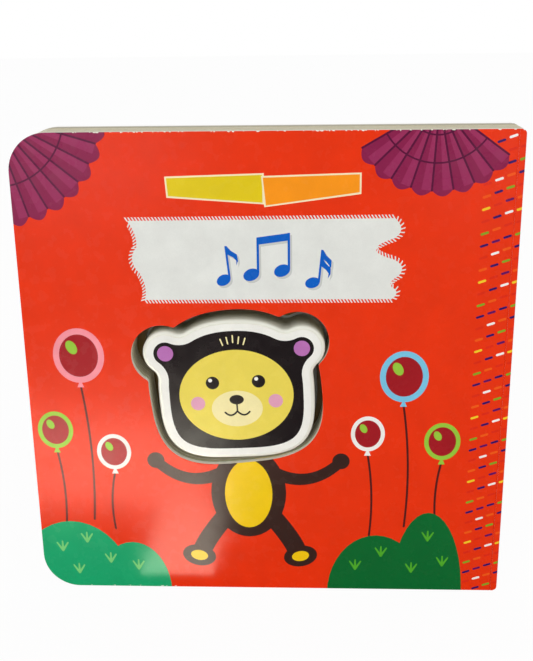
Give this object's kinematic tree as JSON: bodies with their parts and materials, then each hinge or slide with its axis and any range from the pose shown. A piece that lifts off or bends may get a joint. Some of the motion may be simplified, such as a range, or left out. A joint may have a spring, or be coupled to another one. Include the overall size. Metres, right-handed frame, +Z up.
{
  "type": "sound book",
  "caption": "Square board book that stands upright, with a head-shaped window through its cover and leaves and a thick sprung button in it that plays sounds.",
  "frame": {"origin": "under the middle of the standing book, on the surface that it stands on", "axes": "+Z up, the front cover faces -Y, the spine is at +X"},
  "size_m": [0.18, 0.021, 0.18],
  "materials": {
    "cover_print": "laminated gloss print on board",
    "greyboard": "raw grey board",
    "page_board": "printed board page",
    "face_sheet": "laminated printed sheet",
    "button_plastic": "smooth moulded",
    "housing_plastic": "fine matt moulded",
    "rubber": "matt",
    "steel": "plated",
    "circuit": "green solder resist",
    "resin": "black epoxy",
    "film": "polyester film",
    "wire_red": "insulation",
    "wire_black": "insulation"
  },
  "bodies": {
    "book": {"back_cover": "cover_print", "spine_wrap": "cover_print", "spacer_board": "greyboard", "last_page": "page_board", "page_block": "page_board", "base_housing": "housing_plastic", "battery_door": "housing_plastic", "door_screw": "steel", "button_cell_1": "steel", "button_cell_2": "steel", "button_cell_3": "steel", "contact_inner_pair": "steel", "contact_inner_single": "steel", "contact_door_pair": "steel", "contact_door_single": "steel", "speaker_frame": "steel", "speaker_magnet": "steel", "speaker_diaphragm": "film", "circuit_board": "circuit", "chip_resin": "resin", "resistor": "resin", "board_screw_left": "steel", "board_screw_right": "steel", "speaker_wire_red": "wire_red", "speaker_wire_black": "wire_black", "return_spring_left_ear": "steel", "return_spring_right_ear": "steel", "return_spring_left_side": "steel", "return_spring_right_side": "steel"},
    "cover": {"front_cover": "cover_print"},
    "button": {"button_cap": "button_plastic", "face_label": "face_sheet", "contact_puck": "rubber", "cap_screw_left_ear": "steel", "cap_screw_right_ear": "steel", "cap_screw_left_side": "steel", "cap_screw_right_side": "steel"}
  },
  "joints": [
    {"name": "cover_hinge", "type": "hinge", "parent": "book", "child": "cover", "pos_m": [0.0874, -0.0096, 0.09], "axis": [0, 0, 1], "range_deg": [0, 180]},
    {"name": "button_press", "type": "slide", "parent": "book", "child": "button", "axis": [0, 1, 0], "range_m": [0, 0.002], "stiffness_N_per_m": 1200, "springref_m": -0.002, "deforming": ["return_spring_left_ear", "return_spring_right_ear", "return_spring_left_side", "return_spring_right_side"]}
  ]
}
